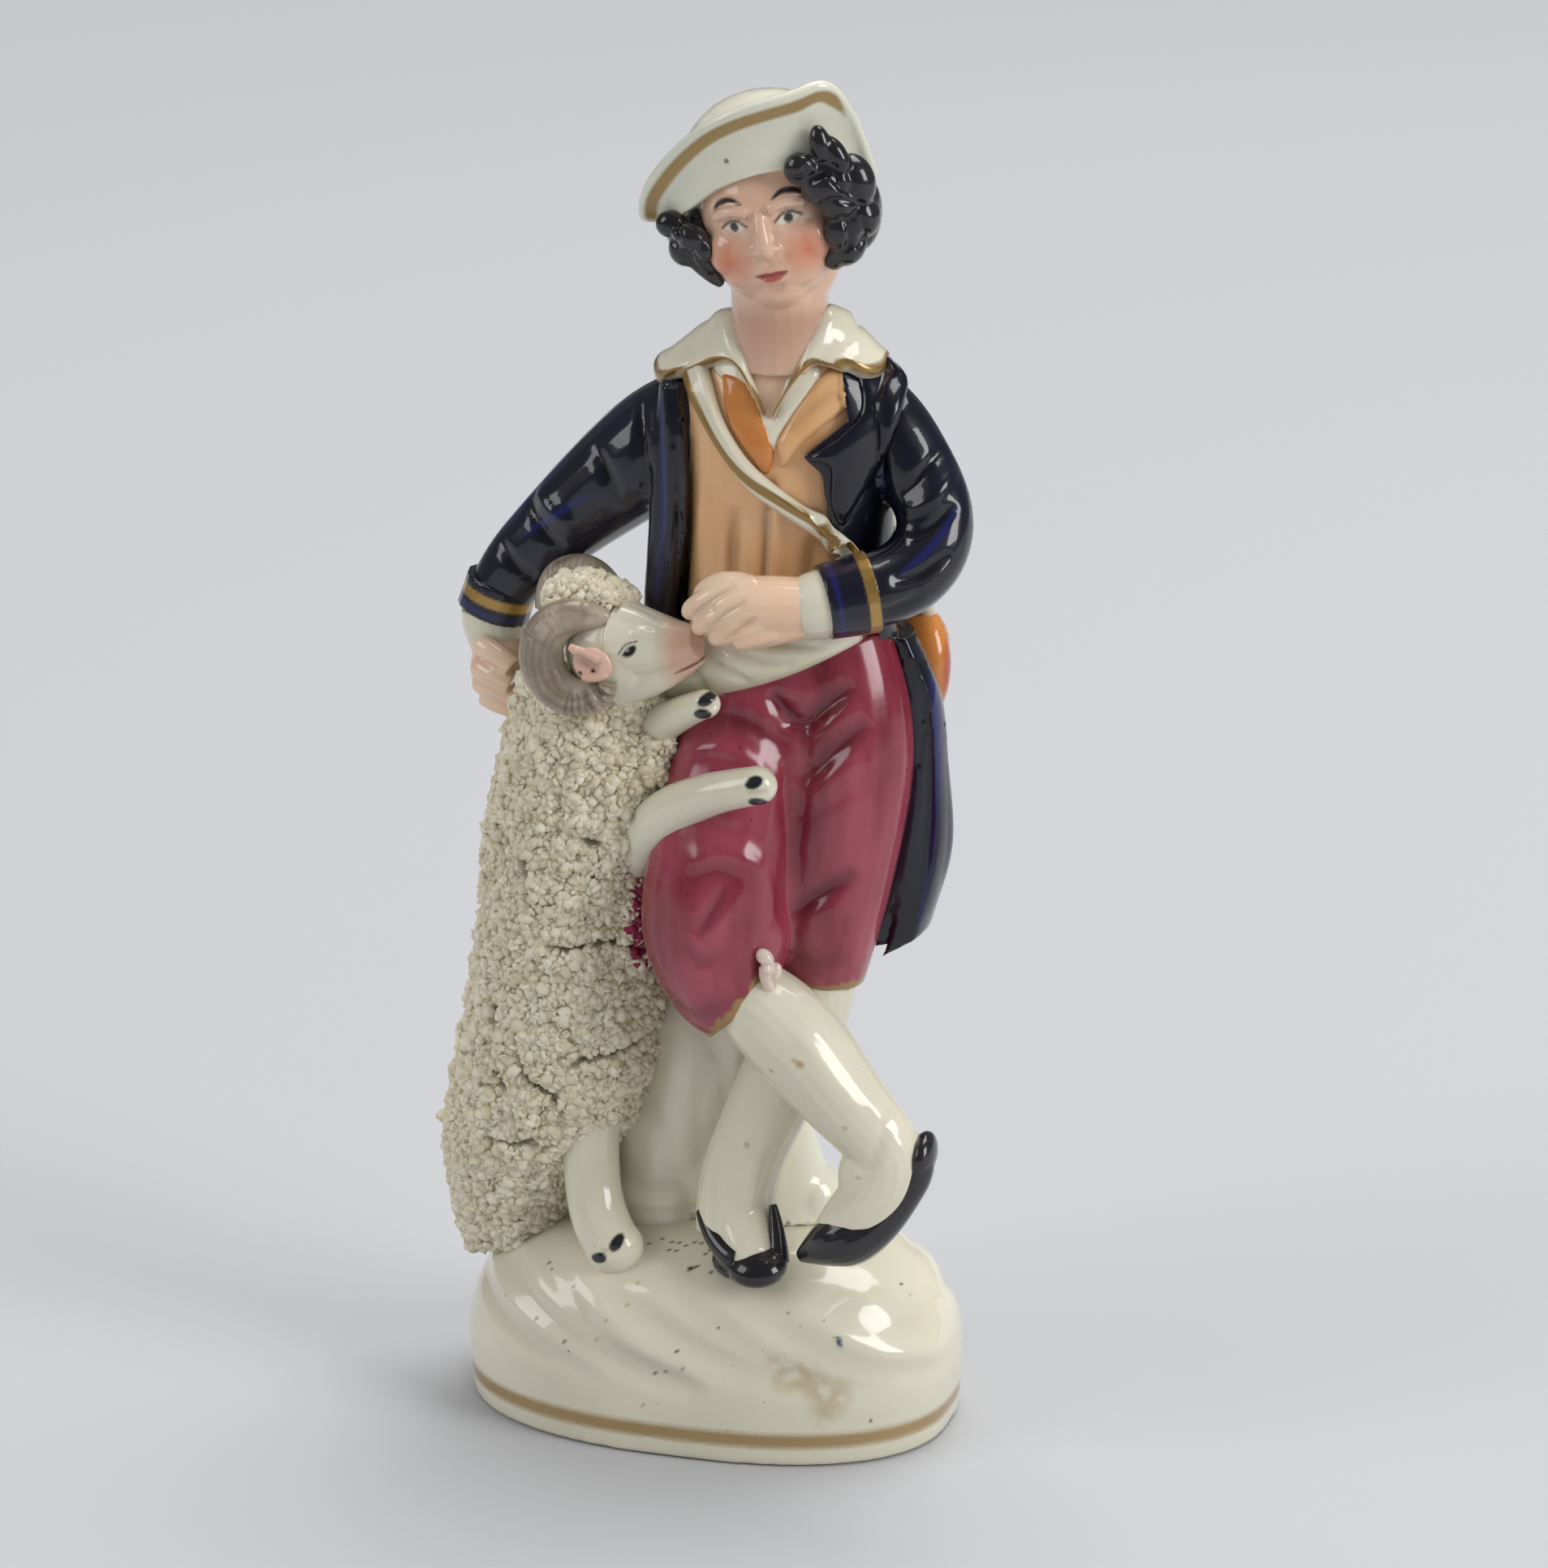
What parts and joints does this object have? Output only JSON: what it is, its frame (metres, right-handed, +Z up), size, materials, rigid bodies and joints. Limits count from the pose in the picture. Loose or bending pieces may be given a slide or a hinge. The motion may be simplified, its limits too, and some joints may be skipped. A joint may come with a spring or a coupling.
{
  "type": "porcelain figurine",
  "caption": "Glazed porcelain group of a shepherd in a cocked hat and long coat, legs crossed, leaning on a ram that stands upright beside him on a domed oval base.",
  "frame": {"origin": "centre of the base's underside, in the plane it rests on", "axes": "+Z up through the figure, +X to the viewer's right along the base's long axis, +Y to the back; the group faces -Y"},
  "size_m": [0.0789, 0.0476, 0.2],
  "materials": {
    "white_glaze": "fired porcelain, glossy glaze",
    "bare_biscuit": "fired porcelain, unglazed",
    "black_enamel": "fired porcelain, glossy glaze",
    "magenta_enamel": "fired porcelain, glossy glaze",
    "orange_enamel": "fired porcelain, glossy glaze",
    "dark_blue_enamel": "fired porcelain, glossy glaze",
    "flesh_enamel": "fired porcelain, glossy glaze",
    "ram_wool": "fired porcelain, glossy glaze",
    "horn_enamel": "fired porcelain, glossy glaze",
    "pink_enamel": "fired porcelain, glossy glaze"
  },
  "bodies": {
    "root": {"base_floor_slab": "bare_biscuit", "base_mound": "white_glaze", "breeches": "magenta_enamel", "coat_body": "dark_blue_enamel", "coat_lapel": "dark_blue_enamel", "coat_skirt": "dark_blue_enamel", "coat_sleeve_left": "dark_blue_enamel", "coat_sleeve_right": "dark_blue_enamel", "collar_left": "white_glaze", "collar_right": "white_glaze", "crossing_shoe": "black_enamel", "crossing_stocking": "white_glaze", "cuff_left": "dark_blue_enamel", "cuff_right": "dark_blue_enamel", "hair_back": "black_enamel", "hair_left": "black_enamel", "hair_right": "black_enamel", "hand_left": "flesh_enamel", "hand_right": "flesh_enamel", "hat_brim": "white_glaze", "hat_crown": "white_glaze", "head": "flesh_enamel", "knee_bow": "white_glaze", "neck": "flesh_enamel", "poll_tuft": "white_glaze", "ram_body": "ram_wool", "ram_ear_far": "pink_enamel", "ram_ear_near": "pink_enamel", "ram_fleece": "ram_wool", "ram_foreleg_far": "white_glaze", "ram_foreleg_near": "white_glaze", "ram_head": "white_glaze", "ram_hindleg_far": "white_glaze", "ram_hindleg_near": "white_glaze", "ram_horn_far": "horn_enamel", "ram_horn_near": "horn_enamel", "ram_tail": "ram_wool", "satchel": "orange_enamel", "shirt_cuff_left": "white_glaze", "shirt_cuff_right": "white_glaze", "shirt_front": "white_glaze", "shirt_waist": "white_glaze", "standing_shoe": "black_enamel", "standing_stocking": "white_glaze", "strap_back": "white_glaze", "strap_front": "white_glaze", "stump": "white_glaze", "waistcoat": "orange_enamel", "waistcoat_lapel_left": "orange_enamel", "waistcoat_lapel_right": "orange_enamel"}
  },
  "joints": []
}
